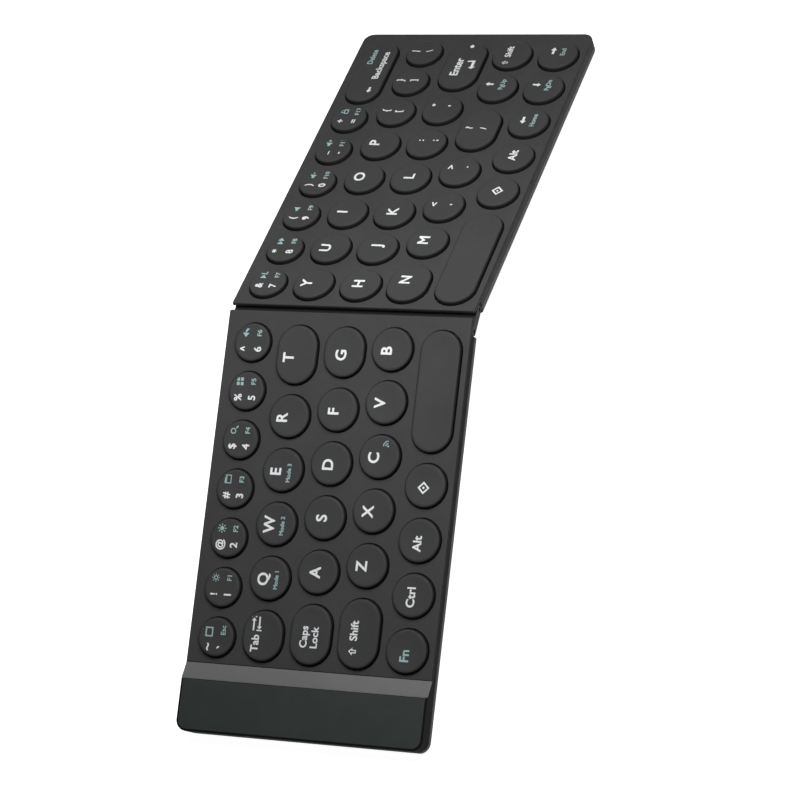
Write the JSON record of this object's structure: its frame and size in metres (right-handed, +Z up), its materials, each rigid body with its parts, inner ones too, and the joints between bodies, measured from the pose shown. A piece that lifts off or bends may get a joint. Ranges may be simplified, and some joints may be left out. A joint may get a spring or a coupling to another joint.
{
  "type": "folding keyboard",
  "caption": "Thin two-half keyboard with round key caps that folds back to back about a two-axis spine, with a raised bar along one end.",
  "frame": {"origin": "centre of the footprint on the floor, with the keyboard half folded and standing like a tent on its two outer ends", "axes": "+X along the length from the left half to the right half, +Y towards the number row, +Z up"},
  "size_m": [0.2752, 0.0886, 0.0491],
  "materials": {
    "deck": "fine matte grain",
    "base": "fine matte grain",
    "ramp": "fine matte",
    "panel": "smooth satin",
    "keycaps": "matte with printed legends",
    "spine": "matte black",
    "frame_steel": "stamped",
    "hinge_steel": "stamped",
    "pin_steel": "ground",
    "socket_steel": "drawn",
    "silicone": "translucent rubber",
    "board": "solder mask",
    "cell": "foil pouch",
    "switch": "ribbed",
    "feet": "matte rubber"
  },
  "bodies": {
    "left_half": {"left_top_cover": "deck", "left_bottom_cover": "base", "bar_housing": "ramp", "bar_top_panel": "panel", "left_key_frame": "frame_steel", "left_dome_sheet": "silicone", "left_circuit_board": "board", "battery_cell": "cell", "charge_socket": "socket_steel", "left_hinge_leaves": "hinge_steel", "left_feet": "feet"},
    "hinge_link": {"hinge_spine": "spine", "hinge_pins": "pin_steel"},
    "right_half": {"right_top_cover": "deck", "right_bottom_cover": "base", "right_key_frame": "frame_steel", "right_dome_sheet": "silicone", "right_circuit_board": "board", "right_hinge_leaves": "hinge_steel", "right_feet": "feet"},
    "power_switch": {"power_switch": "switch"},
    "key_q": {"key_q": "keycaps"},
    "key_w": {"key_w": "keycaps"},
    "key_e": {"key_e": "keycaps"},
    "key_r": {"key_r": "keycaps"},
    "key_t": {"key_t": "keycaps"},
    "key_a": {"key_a": "keycaps"},
    "key_s": {"key_s": "keycaps"},
    "key_d": {"key_d": "keycaps"},
    "key_f": {"key_f": "keycaps"},
    "key_g": {"key_g": "keycaps"},
    "key_z": {"key_z": "keycaps"},
    "key_x": {"key_x": "keycaps"},
    "key_c": {"key_c": "keycaps"},
    "key_v": {"key_v": "keycaps"},
    "key_b": {"key_b": "keycaps"},
    "key_tab": {"key_tab": "keycaps"},
    "key_caps_lock": {"key_caps_lock": "keycaps"},
    "key_left_shift": {"key_left_shift": "keycaps"},
    "key_left_space": {"key_left_space": "keycaps"},
    "keys_left_numbers": {"keys_left_numbers": "keycaps"},
    "keys_left_modifiers": {"keys_left_modifiers": "keycaps"},
    "key_y": {"key_y": "keycaps"},
    "key_u": {"key_u": "keycaps"},
    "key_i": {"key_i": "keycaps"},
    "key_o": {"key_o": "keycaps"},
    "key_p": {"key_p": "keycaps"},
    "key_h": {"key_h": "keycaps"},
    "key_j": {"key_j": "keycaps"},
    "key_k": {"key_k": "keycaps"},
    "key_l": {"key_l": "keycaps"},
    "key_n": {"key_n": "keycaps"},
    "key_m": {"key_m": "keycaps"},
    "key_backspace": {"key_backspace": "keycaps"},
    "key_enter": {"key_enter": "keycaps"},
    "key_right_shift": {"key_right_shift": "keycaps"},
    "key_right_space": {"key_right_space": "keycaps"},
    "keys_right_numbers": {"keys_right_numbers": "keycaps"},
    "keys_symbols": {"keys_symbols": "keycaps"},
    "keys_arrows_modifiers": {"keys_arrows_modifiers": "keycaps"}
  },
  "joints": [
    {"name": "fold_left", "type": "hinge", "parent": "left_half", "child": "hinge_link", "pos_m": [-0.00383, 0, 0.04412], "axis": [0, 1, 0], "range_deg": [-17.1, 72.9]},
    {"name": "fold_right", "type": "hinge", "parent": "hinge_link", "child": "right_half", "pos_m": [0.00447, 0, 0.04412], "axis": [0, 1, 0], "range_deg": [-17.1, 72.9]},
    {"name": "power_slide", "type": "slide", "parent": "left_half", "child": "power_switch", "axis": [0.9558, 0, 0.294], "range_m": [0, 0.002]},
    {"name": "key_q_press", "type": "slide", "parent": "left_half", "child": "key_q", "axis": [-0.294, 0, 0.9558], "range_m": [-0.0012, 0], "stiffness_N_per_m": 300, "springref_m": 0.0005},
    {"name": "key_w_press", "type": "slide", "parent": "left_half", "child": "key_w", "axis": [-0.294, 0, 0.9558], "range_m": [-0.0012, 0], "stiffness_N_per_m": 300, "springref_m": 0.0005},
    {"name": "key_e_press", "type": "slide", "parent": "left_half", "child": "key_e", "axis": [-0.294, 0, 0.9558], "range_m": [-0.0012, 0], "stiffness_N_per_m": 300, "springref_m": 0.0005},
    {"name": "key_r_press", "type": "slide", "parent": "left_half", "child": "key_r", "axis": [-0.294, 0, 0.9558], "range_m": [-0.0012, 0], "stiffness_N_per_m": 300, "springref_m": 0.0005},
    {"name": "key_t_press", "type": "slide", "parent": "left_half", "child": "key_t", "axis": [-0.294, 0, 0.9558], "range_m": [-0.0012, 0], "stiffness_N_per_m": 300, "springref_m": 0.0005},
    {"name": "key_a_press", "type": "slide", "parent": "left_half", "child": "key_a", "axis": [-0.294, 0, 0.9558], "range_m": [-0.0012, 0], "stiffness_N_per_m": 300, "springref_m": 0.0005},
    {"name": "key_s_press", "type": "slide", "parent": "left_half", "child": "key_s", "axis": [-0.294, 0, 0.9558], "range_m": [-0.0012, 0], "stiffness_N_per_m": 300, "springref_m": 0.0005},
    {"name": "key_d_press", "type": "slide", "parent": "left_half", "child": "key_d", "axis": [-0.294, 0, 0.9558], "range_m": [-0.0012, 0], "stiffness_N_per_m": 300, "springref_m": 0.0005},
    {"name": "key_f_press", "type": "slide", "parent": "left_half", "child": "key_f", "axis": [-0.294, 0, 0.9558], "range_m": [-0.0012, 0], "stiffness_N_per_m": 300, "springref_m": 0.0005},
    {"name": "key_g_press", "type": "slide", "parent": "left_half", "child": "key_g", "axis": [-0.294, 0, 0.9558], "range_m": [-0.0012, 0], "stiffness_N_per_m": 300, "springref_m": 0.0005},
    {"name": "key_z_press", "type": "slide", "parent": "left_half", "child": "key_z", "axis": [-0.294, 0, 0.9558], "range_m": [-0.0012, 0], "stiffness_N_per_m": 300, "springref_m": 0.0005},
    {"name": "key_x_press", "type": "slide", "parent": "left_half", "child": "key_x", "axis": [-0.294, 0, 0.9558], "range_m": [-0.0012, 0], "stiffness_N_per_m": 300, "springref_m": 0.0005},
    {"name": "key_c_press", "type": "slide", "parent": "left_half", "child": "key_c", "axis": [-0.294, 0, 0.9558], "range_m": [-0.0012, 0], "stiffness_N_per_m": 300, "springref_m": 0.0005},
    {"name": "key_v_press", "type": "slide", "parent": "left_half", "child": "key_v", "axis": [-0.294, 0, 0.9558], "range_m": [-0.0012, 0], "stiffness_N_per_m": 300, "springref_m": 0.0005},
    {"name": "key_b_press", "type": "slide", "parent": "left_half", "child": "key_b", "axis": [-0.294, 0, 0.9558], "range_m": [-0.0012, 0], "stiffness_N_per_m": 300, "springref_m": 0.0005},
    {"name": "key_tab_press", "type": "slide", "parent": "left_half", "child": "key_tab", "axis": [-0.294, 0, 0.9558], "range_m": [-0.0012, 0], "stiffness_N_per_m": 300, "springref_m": 0.0005},
    {"name": "key_caps_lock_press", "type": "slide", "parent": "left_half", "child": "key_caps_lock", "axis": [-0.294, 0, 0.9558], "range_m": [-0.0012, 0], "stiffness_N_per_m": 300, "springref_m": 0.0005},
    {"name": "key_left_shift_press", "type": "slide", "parent": "left_half", "child": "key_left_shift", "axis": [-0.294, 0, 0.9558], "range_m": [-0.0012, 0], "stiffness_N_per_m": 300, "springref_m": 0.0005},
    {"name": "key_left_space_press", "type": "slide", "parent": "left_half", "child": "key_left_space", "axis": [-0.294, 0, 0.9558], "range_m": [-0.0012, 0], "stiffness_N_per_m": 300, "springref_m": 0.0005},
    {"name": "keys_left_numbers_press", "type": "slide", "parent": "left_half", "child": "keys_left_numbers", "axis": [-0.294, 0, 0.9558], "range_m": [-0.0012, 0], "stiffness_N_per_m": 2100, "springref_m": 0.0005},
    {"name": "keys_left_modifiers_press", "type": "slide", "parent": "left_half", "child": "keys_left_modifiers", "axis": [-0.294, 0, 0.9558], "range_m": [-0.0012, 0], "stiffness_N_per_m": 1200, "springref_m": 0.0005},
    {"name": "key_y_press", "type": "slide", "parent": "right_half", "child": "key_y", "axis": [0.294, 0, 0.9558], "range_m": [-0.0012, 0], "stiffness_N_per_m": 300, "springref_m": 0.0005},
    {"name": "key_u_press", "type": "slide", "parent": "right_half", "child": "key_u", "axis": [0.294, 0, 0.9558], "range_m": [-0.0012, 0], "stiffness_N_per_m": 300, "springref_m": 0.0005},
    {"name": "key_i_press", "type": "slide", "parent": "right_half", "child": "key_i", "axis": [0.294, 0, 0.9558], "range_m": [-0.0012, 0], "stiffness_N_per_m": 300, "springref_m": 0.0005},
    {"name": "key_o_press", "type": "slide", "parent": "right_half", "child": "key_o", "axis": [0.294, 0, 0.9558], "range_m": [-0.0012, 0], "stiffness_N_per_m": 300, "springref_m": 0.0005},
    {"name": "key_p_press", "type": "slide", "parent": "right_half", "child": "key_p", "axis": [0.294, 0, 0.9558], "range_m": [-0.0012, 0], "stiffness_N_per_m": 300, "springref_m": 0.0005},
    {"name": "key_h_press", "type": "slide", "parent": "right_half", "child": "key_h", "axis": [0.294, 0, 0.9558], "range_m": [-0.0012, 0], "stiffness_N_per_m": 300, "springref_m": 0.0005},
    {"name": "key_j_press", "type": "slide", "parent": "right_half", "child": "key_j", "axis": [0.294, 0, 0.9558], "range_m": [-0.0012, 0], "stiffness_N_per_m": 300, "springref_m": 0.0005},
    {"name": "key_k_press", "type": "slide", "parent": "right_half", "child": "key_k", "axis": [0.294, 0, 0.9558], "range_m": [-0.0012, 0], "stiffness_N_per_m": 300, "springref_m": 0.0005},
    {"name": "key_l_press", "type": "slide", "parent": "right_half", "child": "key_l", "axis": [0.294, 0, 0.9558], "range_m": [-0.0012, 0], "stiffness_N_per_m": 300, "springref_m": 0.0005},
    {"name": "key_n_press", "type": "slide", "parent": "right_half", "child": "key_n", "axis": [0.294, 0, 0.9558], "range_m": [-0.0012, 0], "stiffness_N_per_m": 300, "springref_m": 0.0005},
    {"name": "key_m_press", "type": "slide", "parent": "right_half", "child": "key_m", "axis": [0.294, 0, 0.9558], "range_m": [-0.0012, 0], "stiffness_N_per_m": 300, "springref_m": 0.0005},
    {"name": "key_backspace_press", "type": "slide", "parent": "right_half", "child": "key_backspace", "axis": [0.294, 0, 0.9558], "range_m": [-0.0012, 0], "stiffness_N_per_m": 300, "springref_m": 0.0005},
    {"name": "key_enter_press", "type": "slide", "parent": "right_half", "child": "key_enter", "axis": [0.294, 0, 0.9558], "range_m": [-0.0012, 0], "stiffness_N_per_m": 300, "springref_m": 0.0005},
    {"name": "key_right_shift_press", "type": "slide", "parent": "right_half", "child": "key_right_shift", "axis": [0.294, 0, 0.9558], "range_m": [-0.0012, 0], "stiffness_N_per_m": 300, "springref_m": 0.0005},
    {"name": "key_right_space_press", "type": "slide", "parent": "right_half", "child": "key_right_space", "axis": [0.294, 0, 0.9558], "range_m": [-0.0012, 0], "stiffness_N_per_m": 300, "springref_m": 0.0005},
    {"name": "keys_right_numbers_press", "type": "slide", "parent": "right_half", "child": "keys_right_numbers", "axis": [0.294, 0, 0.9558], "range_m": [-0.0012, 0], "stiffness_N_per_m": 1800, "springref_m": 0.0005},
    {"name": "keys_symbols_press", "type": "slide", "parent": "right_half", "child": "keys_symbols", "axis": [0.294, 0, 0.9558], "range_m": [-0.0012, 0], "stiffness_N_per_m": 2400, "springref_m": 0.0005},
    {"name": "keys_arrows_modifiers_press", "type": "slide", "parent": "right_half", "child": "keys_arrows_modifiers", "axis": [0.294, 0, 0.9558], "range_m": [-0.0012, 0], "stiffness_N_per_m": 1800, "springref_m": 0.0005}
  ],
  "couplings": [
    {"joint": "fold_right", "follows": "fold_left", "ratio": 1}
  ]
}
